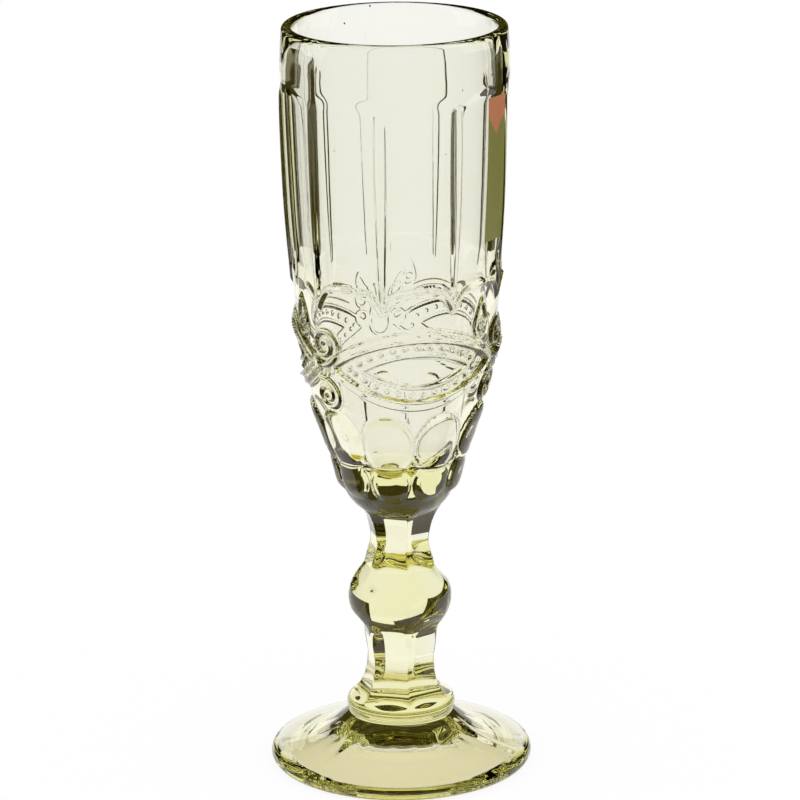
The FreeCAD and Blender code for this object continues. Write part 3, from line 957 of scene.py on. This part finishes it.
@dataclass(frozen=True)
class PressedGlass:
    """Soda-lime glass, pressed hot and fire polished, tinted olive green through its thickness."""

    name: str = "pressed_soda_lime_glass"
    ior: float = 1.52
    tint: str = "#F1EE48"
    tint_strength: float = 24.0
    ripple_mm: float = 9.0
    ripple_height_mm: float = 0.012
    grain_mm: float = 1.4
    grain_span: Point = (0.45, 0.8)
    polish: Point = (0.0, 0.03)

    def material(self) -> bpy.types.Material:
        """Builds the finish.

        Returns:
            A clear glass whose body takes out blue, so thick places look deeper green.
        """
        made = bpy.data.materials.new(self.name)
        made.use_nodes = True
        tree = made.node_tree
        tree.nodes.clear()
        place = add_node(tree, "ShaderNodeTexCoord").outputs["Object"]
        # Chill ripple: the cool mould leaves broad, very shallow waves that bend what is seen through.
        ripple = add_node(tree, "ShaderNodeTexNoise", None,
                          {"Vector": place, "Scale": 1 / (self.ripple_mm * MM), "Detail": 1.0}).outputs["Fac"]
        wavy = add_node(tree, "ShaderNodeBump", None,
                        {"Height": ripple, "Distance": self.ripple_height_mm * MM, "Strength": 1.0})
        # Fire polish: almost clear everywhere, with a breath of haze that varies over the surface.
        grain = add_node(tree, "ShaderNodeTexNoise", None,
                         {"Vector": place, "Scale": 1 / (self.grain_mm * MM), "Detail": 2.0}).outputs["Fac"]
        haze = add_node(tree, "ShaderNodeMapRange", None,
                        {"Value": grain, "From Min": self.grain_span[0], "From Max": self.grain_span[1],
                         "To Min": self.polish[0], "To Max": self.polish[1]}).outputs[0]
        surface = add_node(tree, "ShaderNodeBsdfPrincipled", None,
                           {"Base Color": (1.0, 1.0, 1.0, 1.0), "Transmission Weight": 1.0,
                            "IOR": self.ior, "Roughness": haze, "Normal": wavy.outputs[0]})
        body = add_node(tree, "ShaderNodeVolumeAbsorption", None,
                        {"Color": linear(self.tint), "Density": self.tint_strength})
        add_node(tree, "ShaderNodeOutputMaterial", None,
                 {"Surface": surface.outputs[0], "Volume": body.outputs[0]})
        return made


@dataclass(frozen=True)
class PrintedPaper:
    """Coated label paper, offset printed in two plain colours, which gives it a soft gloss."""

    name: str = "printed_label_paper"
    upper: str = "#B06C46"
    lower: str = "#74732F"
    join_mm: float = 0.2
    fibre_mm: float = 0.25
    fibre_height_mm: float = 0.02
    fibre_tone: Point = (0.8, 1.15)
    fibre_bump: float = 0.4
    roughness: float = 0.45
    coat: float = 0.3
    # Strength of the painted glow.
    glow: float = 0.08

    def material(self, split: float, point: float, half_width: float, centre: Vector,
                 along: Vector) -> bpy.types.Material:
        """Builds the finish.

        Args:
            split: Height of the point of the upper colour, in metres.
            point: How far that point hangs below its corners, in metres.
            half_width: Half of the sticker's width, in metres.
            centre: A place on the sticker's centre line.
            along: The level direction across the sticker.

        Returns:
            Two flat inks with a pointed join, faint paper fibres, a soft gloss and a faint painted glow.
        """
        made = bpy.data.materials.new(self.name)
        made.use_nodes = True
        tree = made.node_tree
        tree.nodes.clear()
        place = add_node(tree, "ShaderNodeTexCoord").outputs["Object"]
        height = add_node(tree, "ShaderNodeSeparateXYZ", None, {0: place}).outputs["Z"]
        offset = add_node(tree, "ShaderNodeVectorMath", {"operation": "SUBTRACT"},
                          {0: place, 1: tuple(centre)}).outputs[0]
        side = add_node(tree, "ShaderNodeVectorMath", {"operation": "DOT_PRODUCT"},
                        {0: offset, 1: tuple(along)}).outputs["Value"]
        away = add_node(tree, "ShaderNodeMath", {"operation": "ABSOLUTE"}, {0: side}).outputs[0]
        edge = add_node(tree, "ShaderNodeMath", {"operation": "MULTIPLY_ADD"},
                        {0: away, 1: point / half_width, 2: split}).outputs[0]
        over = add_node(tree, "ShaderNodeMath", {"operation": "SUBTRACT"}, {0: height, 1: edge}).outputs[0]
        share = add_node(tree, "ShaderNodeMapRange", None,
                         {"Value": over, "From Min": -self.join_mm * MM,
                          "From Max": self.join_mm * MM}).outputs[0]
        inks = add_node(tree, "ShaderNodeMix", {"data_type": "RGBA"},
                        {"Factor": share, "A": linear(self.lower), "B": linear(self.upper)})
        # Paper fibres mottle the ink a little.
        fibres = add_node(tree, "ShaderNodeTexNoise", None,
                          {"Vector": place, "Scale": 1 / (self.fibre_mm * MM), "Detail": 3.0}).outputs["Fac"]
        tone = add_node(tree, "ShaderNodeMapRange", None,
                        {"Value": fibres, "To Min": self.fibre_tone[0],
                         "To Max": self.fibre_tone[1]}).outputs[0]
        colour = add_node(tree, "ShaderNodeVectorMath", {"operation": "SCALE"},
                          {0: inks.outputs["Result"], "Scale": tone}).outputs[0]
        bump = add_node(tree, "ShaderNodeBump", None,
                        {"Height": fibres, "Distance": self.fibre_height_mm * MM,
                         "Strength": self.fibre_bump}).outputs[0]
        # Painted glow: a faint emission of the ink colour stands in for the light that comes through the thin
        # paper, so it isn't black from behind.
        surface = add_node(tree, "ShaderNodeBsdfPrincipled", None,
                           {"Base Color": colour, "Roughness": self.roughness, "Normal": bump,
                            "Coat Weight": self.coat,
                            "Emission Color": colour, "Emission Strength": self.glow})
        add_node(tree, "ShaderNodeOutputMaterial", None, {"Surface": surface.outputs[0]})
        return made


def build_skin(rings: list[Numbers], first: Numbers, last: Numbers) -> bpy.types.Mesh:
    """Joins rings of points into one closed skin, closed by a pole at each end.

    Args:
        rings: Rings in order; a ring may have twice or half the columns of the one before.
        first: The pole before the first ring.
        last: The pole after the last ring.

    Returns:
        A closed mesh whose faces point away from the glass.
    """
    points = [first[None, :], *rings, last[None, :]]
    starts = np.cumsum([0] + [len(part) for part in points])
    end = int(starts[-1]) - 1
    faces = [(0, int(starts[1] + (j + 1) % len(rings[0])), int(starts[1] + j)) for j in range(len(rings[0]))]
    for index in range(1, len(rings)):
        below, above = int(starts[index]), int(starts[index + 1])
        few, many = len(rings[index - 1]), len(rings[index])
        faces.extend(join_rings(below, few, above, many))
    top, count = int(starts[-3]), len(rings[-1])
    faces.extend((top + j, top + (j + 1) % count, end) for j in range(count))
    mesh = bpy.data.meshes.new("glass_skin")
    mesh.from_pydata((np.concatenate(points) * MM).tolist(), [], faces)
    mesh.shade_smooth()
    return mesh


def join_rings(below: int, low_count: int, above: int, high_count: int) -> list[tuple[int, ...]]:
    """Faces between two rings, where one may have twice the columns of the other.

    Args:
        below: Index of the first ring's first point.
        low_count: How many points the first ring has.
        above: Index of the second ring's first point.
        high_count: How many points the second ring has.

    Returns:
        Faces as indices of points, all turned outwards.
    """
    faces: list[tuple[int, ...]] = []
    count = min(low_count, high_count)
    for j in range(count):
        after = (j + 1) % count
        if low_count == high_count:
            faces.append((below + j, below + after, above + after, above + j))
        elif low_count < high_count:
            mid, far = 2 * j + 1, (2 * j + 2) % high_count
            faces.append((below + j, below + after, above + mid))
            faces.append((below + j, above + mid, above + 2 * j))
            faces.append((below + after, above + far, above + mid))
        else:
            mid, far = 2 * j + 1, (2 * j + 2) % low_count
            faces.append((below + 2 * j, below + mid, above + j))
            faces.append((below + mid, above + after, above + j))
            faces.append((below + mid, below + far, above + after))
    return faces


@dataclass
class Glass:
    """The whole flute as one unbroken skin: foot, stem, bowl and the relief pressed in it."""

    foot: Foot
    stem: Stem
    bowl: Bowl
    finish: PressedGlass
    join_start: float = 71.0
    join_length: float = 5.0
    neck: float = 77.0
    relief_foot: float = 101.0
    relief_top: float = 127.0
    border_top: float = 138.0
    panel_top: float = 182.0
    shoulder_top: float = 191.0
    gather_start: float = 126.0
    gather_length: float = 8.0
    name: str = "flute_glass"

    def zones(self) -> list[Zone]:
        """Where the rings are close together and where they can be far apart.

        Returns:
            Zones from the foot's collar up to the lip.
        """
        return [Zone(self.stem.bottom, self.neck, 1.0, COARSE_COLUMNS),
                Zone(self.neck, self.relief_foot, 0.96, FINE_COLUMNS),
                Zone(self.relief_foot, self.relief_top, 0.38, FINE_COLUMNS),
                Zone(self.relief_top, self.border_top, 0.55, FINE_COLUMNS),
                Zone(self.border_top, self.panel_top, 4.0, FINE_COLUMNS),
                Zone(self.panel_top, self.shoulder_top, 0.75, FINE_COLUMNS),
                Zone(self.shoulder_top, self.bowl.top - self.bowl.lip, 2.5, FINE_COLUMNS)]

    def outside(self, angle: Numbers, height: float) -> Numbers:
        """The outer radius of the stem or the bowl, blended over the neck between them.

        Args:
            angle: Degrees about the axis.
            height: Millimetres above the table.

        Returns:
            The radius at each angle.
        """
        level = np.full_like(angle, height)
        if height < self.join_start:
            return self.stem.outside(angle, level)
        share = smoothstep((level - self.join_start) / self.join_length)
        return (1 - share) * self.stem.outside(angle, level) + share * self.bowl.outside(angle, level)

    def skin(self) -> bpy.types.Mesh:
        """The closed skin before its ornament is pressed.

        Returns:
            A mesh from the hollow under the foot, over the outside and the lip, to the cavity's floor.
        """
        rings = self.foot.rings()
        for zone in self.zones():
            for height in zone.heights():
                risen = np.array((height - self.gather_start) / self.gather_length)
                gathered = GATHER * float(smoothstep(risen))
                angle = crowd(columns_at(zone.columns), gathered)
                rings.append(around(self.outside(angle, height), angle, height))
        angle = crowd(columns_at(FINE_COLUMNS), GATHER)
        rings.extend(around(radius + 0 * angle, angle, height)
                     for radius, height in self.bowl.lip_outline())
        angle = crowd(columns_at(COARSE_COLUMNS), GATHER)
        rings.extend(around(radius + 0 * angle, angle, height)
                     for radius, height in self.bowl.cavity_outline())
        under = np.array([0.0, 0.0, self.foot.recess_depth])
        floor = np.array([0.0, 0.0, self.bowl.cavity_line[0][0]])
        return build_skin(rings, under, floor)

    def build(self, relief: Relief, press: PressTree) -> bpy.types.Object:
        """Builds the glass and presses the ornament into it.

        Args:
            relief: The ornament's strokes.
            press: The tree that presses them.

        Returns:
            One closed piece with no modifier left on it.
        """
        relief.draw()
        material = self.finish.material()
        base = bpy.data.objects.new("glass_blank", self.skin())
        bpy.context.scene.collection.objects.link(base)
        tree = press.build()
        modifier = base.modifiers.new("press", "NODES")
        modifier.node_group = tree
        values = press.values(relief, material)
        for item in tree.interface.items_tree:
            if item.in_out == "INPUT" and item.name in values:
                modifier[item.identifier] = values[item.name]
        graph = bpy.context.evaluated_depsgraph_get()
        mesh = bpy.data.meshes.new_from_object(base.evaluated_get(graph))
        mesh.name = self.name
        for spent in [base, *(value for value in values.values() if isinstance(value, bpy.types.Object))]:
            bpy.data.objects.remove(spent)
        piece = bpy.data.objects.new(self.name, mesh)
        bpy.context.scene.collection.objects.link(piece)
        return piece


@dataclass
class Sticker:
    """A plain paper sticker on one panel, copper above and olive below.

    The copper ends in a point, which hangs by point at split_share of the sticker's height.
    """

    bowl: Bowl
    finish: PrintedPaper
    bottom: float
    top: float
    angle: float = 62.2
    width: float = 7.4
    point: float = 5.0
    thickness: float = 0.12
    clearance: float = 0.05
    split_share: float = 0.74
    wall_radius: float = 29.0
    rows: int = 40
    columns: int = 13
    name: str = "paper_sticker"

    def sheet(self, lift: float) -> list[list[tuple[float, ...]]]:
        """Points over one face of the sticker.

        Args:
            lift: How far it is off the glass.

        Returns:
            Rows of points in metres, lowest first.
        """
        rows = []
        for up in np.linspace(0, 1, self.rows):
            across = np.linspace(-1, 1, self.columns)
            height = self.bottom + (self.top - self.bottom) * up + 0 * across
            wall = smooth_line(self.bowl.wall_line, height)
            angle = self.angle + np.degrees(across * self.width / 2 / wall)
            radius = self.bowl.outside(angle, height) + lift
            rows.append([tuple(p) for p in (around(radius, angle, height) * MM).tolist()])
        return rows

    def build(self) -> bpy.types.Object:
        """Builds the sticker.

        Returns:
            A thin closed sheet with its ink on it.
        """
        work = bmesh.new()
        faces = [self.sheet(self.clearance), self.sheet(self.clearance + self.thickness)]
        grids = [[[work.verts.new(p) for p in row] for row in sheet] for sheet in faces]
        rows, columns = len(grids[0]), len(grids[0][0])
        for grid in grids:
            for i in range(rows - 1):
                for j in range(columns - 1):
                    work.faces.new((grid[i][j], grid[i][j + 1], grid[i + 1][j + 1], grid[i + 1][j]))
        rim = [(0, j) for j in range(columns - 1)] + [(i, columns - 1) for i in range(rows - 1)]
        rim += [(rows - 1, j) for j in range(columns - 1, 0, -1)] + [(i, 0) for i in range(rows - 1, 0, -1)]
        for (i, j), (k, m) in zip(rim, rim[1:] + rim[:1]):
            work.faces.new((grids[0][i][j], grids[0][k][m], grids[1][k][m], grids[1][i][j]))
        bmesh.ops.recalc_face_normals(work, faces=work.faces)
        mesh = bpy.data.meshes.new(self.name)
        work.to_mesh(mesh)
        work.free()
        turn = math.radians(self.angle)
        middle = Vector(around(np.array(self.wall_radius), np.array(self.angle), np.array(0.0)) * MM)
        split = self.bottom + self.split_share * (self.top - self.bottom)
        mesh.materials.append(self.finish.material(split * MM, self.point * MM, self.width / 2 * MM,
                                                   middle, Vector((math.cos(turn), math.sin(turn), 0))))
        piece = bpy.data.objects.new(self.name, mesh)
        bpy.context.scene.collection.objects.link(piece)
        return piece


@dataclass(frozen=True)
class Studio:
    """A bright-field table for glass: white floor and backdrop, and dark screens at the sides.

    Lengths are millimetres and angles degrees. The screens' gap is half of the window behind
    the glass, seen from its axis, and the apron lies on the floor in front of the glass.
    """

    distance: float = 1056.4
    height: float = 417.0
    aside: float = 0.5
    pitch: float = 16.73
    roll: float = 0.54
    lens: float = 189.3
    sensor: float = 36.0
    floor_size: float = 6000.0
    floor_drop: float = 0.02
    floor_glow: float = 0.9
    # Painted pool of golden light under the foot: its colour, and the radii over which it fades to white.
    painted_caustic_colour: str = "#F4ECC4"
    painted_caustic_span: Point = (27.0, 34.0)
    screen_colour: str = "#3C3616"
    screen_radius: float = 420.0
    screen_gap: float = 27.0
    screen_height: float = 600.0
    screen_foot: float = 2.0
    window_top: float = 150.0
    roof_hole: float = 20.0
    apron_start: float = 60.0
    apron_height: float = 1.0
    apron_half_angle: float = 80.0

    def camera(self) -> bpy.types.Object:
        """A long lens, a little above the glass and looking down at its middle.

        Returns:
            The scene's camera.
        """
        data = bpy.data.cameras.new("camera")
        data.lens, data.sensor_width = self.lens, self.sensor
        data.clip_start, data.clip_end = 0.05, 50.0
        made = bpy.data.objects.new("camera", data)
        made.location = Vector((self.aside, -self.distance, self.height)) * MM
        tilt = Euler((math.radians(90 - self.pitch), 0, 0)).to_matrix()
        turn = Euler((0, 0, math.radians(-self.roll))).to_matrix()
        made.rotation_euler = (tilt @ turn).to_euler()
        bpy.context.scene.collection.objects.link(made)
        bpy.context.scene.camera = made
        return made

    def floor(self) -> bpy.types.Object:
        """A wide, plain, pale floor.

        Returns:
            One square, just under the foot.
        """
        half = self.floor_size / 2 * MM
        mesh = bpy.data.meshes.new("floor")
        corners = [(-half, -half, 0), (half, -half, 0), (half, half, 0), (-half, half, 0)]
        mesh.from_pydata(corners, [], [(0, 1, 2, 3)])
        mesh.materials.append(self.floor_finish())
        made = bpy.data.objects.new("floor", mesh)
        made.location.z = -self.floor_drop * MM
        bpy.context.scene.collection.objects.link(made)
        return made

    def floor_finish(self) -> bpy.types.Material:
        """White acrylic lit from behind.

        Returns:
            A pale finish, with a painted pool of golden light under the foot that stands in for the light
            tinted glass throws under itself.
        """
        made = self.plain("white_acrylic_floor", "#5A5A5A", 0.0, self.floor_glow)
        tree = made.node_tree
        # Painted caustic light: inside the foot's radius the floor's glow turns golden, standing in for the
        # light that the tinted glass throws there.
        place = add_node(tree, "ShaderNodeTexCoord").outputs["Object"]
        away = add_node(tree, "ShaderNodeVectorMath", {"operation": "LENGTH"}, {0: place}).outputs["Value"]
        share = add_node(tree, "ShaderNodeMapRange", {"interpolation_type": "SMOOTHSTEP"},
                         {"Value": away, "From Min": self.painted_caustic_span[0] * MM,
                          "From Max": self.painted_caustic_span[1] * MM}).outputs[0]
        tint = add_node(tree, "ShaderNodeMix", {"data_type": "RGBA"},
                        {"Factor": share, "A": linear(self.painted_caustic_colour), "B": linear("#FFFFFF")})
        tree.links.new(tint.outputs["Result"], tree.nodes["Principled BSDF"].inputs["Emission Color"])
        return made

    def plain(self, name: str, colour: str, gloss: float, glow: float) -> bpy.types.Material:
        """A matt studio surface, with a white glow for one that is lit from behind.

        Args:
            name: The finish's name.
            colour: Its sRGB hex colour.
            gloss: Its specular level.
            glow: How strongly it shines.

        Returns:
            The finish.
        """
        made = bpy.data.materials.new(name)
        made.use_nodes = True
        shader = made.node_tree.nodes["Principled BSDF"]
        shader.inputs["Base Color"].default_value = linear(colour)
        shader.inputs["Roughness"].default_value = 0.9
        shader.inputs["Specular IOR Level"].default_value = gloss
        shader.inputs["Emission Color"].default_value = linear("#FFFFFF")
        shader.inputs["Emission Strength"].default_value = glow
        return made

    def screens(self, camera: bpy.types.Object) -> bpy.types.Object:
        """Dark screens round the glass, open behind it, which give its edges their dark lines.

        Args:
            camera: The screens turn round the glass with it.

        Returns:
            One object of all the screens, which only the glass sees.
        """
        side = np.linspace(self.screen_gap, 360 - self.screen_gap, 41) + 180
        window = np.linspace(-self.screen_gap, self.screen_gap, 9) + 180
        front = np.linspace(-self.apron_half_angle, self.apron_half_angle, 25)
        work = bmesh.new()
        whole = np.linspace(0, 360, 49)
        eaves = (self.screen_radius, self.screen_height)
        self.band(work, side, (self.screen_radius, self.screen_foot), eaves)
        self.band(work, window, (self.screen_radius, self.window_top), eaves)
        self.band(work, whole, eaves, (self.roof_hole, self.screen_height))
        self.band(work, front, (self.apron_start, self.apron_height), (self.screen_radius, self.apron_height))
        mesh = bpy.data.meshes.new("dark_screens")
        work.to_mesh(mesh)
        work.free()
        mesh.materials.append(self.plain("dark_olive_velvet", self.screen_colour, 0.0, 0.0))
        made = bpy.data.objects.new("dark_screens", mesh)
        bpy.context.scene.collection.objects.link(made)
        bpy.context.view_layer.update()
        made.parent = camera
        made.matrix_parent_inverse = camera.matrix_world.inverted()
        made.visible_camera = False
        made.visible_diffuse = False
        made.visible_shadow = False
        return made

    def band(self, work: bmesh.types.BMesh, angle: Numbers, low: Point, high: Point) -> None:
        """Adds a strip of screen between two arcs.

        Args:
            work: The mesh being built.
            angle: The angles along both arcs.
            low: Radius and height of one arc.
            high: Radius and height of the other.
        """
        rows = [[work.verts.new(point) for point in (around(radius + 0 * angle, angle, height) * MM).tolist()]
                for radius, height in (low, high)]
        for j in range(len(angle) - 1):
            work.faces.new((rows[0][j], rows[0][j + 1], rows[1][j + 1], rows[1][j]))

    def light(self) -> None:
        """An even white surround, so that the backdrop and floor meet with no line."""
        world = bpy.data.worlds.new("white_surround")
        world.use_nodes = True
        backdrop = world.node_tree.nodes["Background"]
        backdrop.inputs["Color"].default_value = (1.0, 1.0, 1.0, 1.0)
        backdrop.inputs["Strength"].default_value = 1.0
        scene = bpy.context.scene
        scene.world = world
        scene.view_settings.view_transform = "Standard"
        scene.cycles.max_bounces = 24
        scene.cycles.transmission_bounces = 24
        scene.cycles.glossy_bounces = 8
        scene.cycles.volume_bounces = 0


def finish_piece(piece: bpy.types.Object, slot: str, *nodes: str) -> None:
    """Rides a piece on the glass's one body, and lets it stand for its CAD nodes.

    Args:
        piece: The finished piece.
        slot: The record's material slot; not used.
        nodes: The CAD nodes that it replaces.
    """
    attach(piece, "root")
    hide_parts(*nodes)
    LOG.info("%s: %d faces, stands for %s", piece.name, len(piece.data.polygons), ", ".join(nodes))


def main() -> None:
    """Builds the studio, the glass and its sticker in order."""
    logging.basicConfig(level=logging.INFO, format="%(message)s")
    studio = Studio()
    camera = studio.camera()
    floor, screens = studio.floor(), studio.screens(camera)
    studio.light()

    foot_box, stem_box, bowl_box, label_box = (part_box(name) for name in ("foot", "stem", "bowl", "label"))
    foot = Foot(height=foot_box[1].z / MM, radius=foot_box[1].x / MM)
    stem = Stem(bottom=stem_box[0].z / MM)
    bowl = Bowl(top=bowl_box[1].z / MM)
    glass = Glass(foot, stem, bowl, PressedGlass())
    finish_piece(glass.build(Relief(bowl), PressTree()), "bowl_glass", "bowl", "stem", "foot")
    sticker = Sticker(bowl, PrintedPaper(), bottom=label_box[0].z / MM, top=label_box[1].z / MM)
    finish_piece(sticker.build(), "label_paper", "label")


if __name__ == "__main__":
    main()
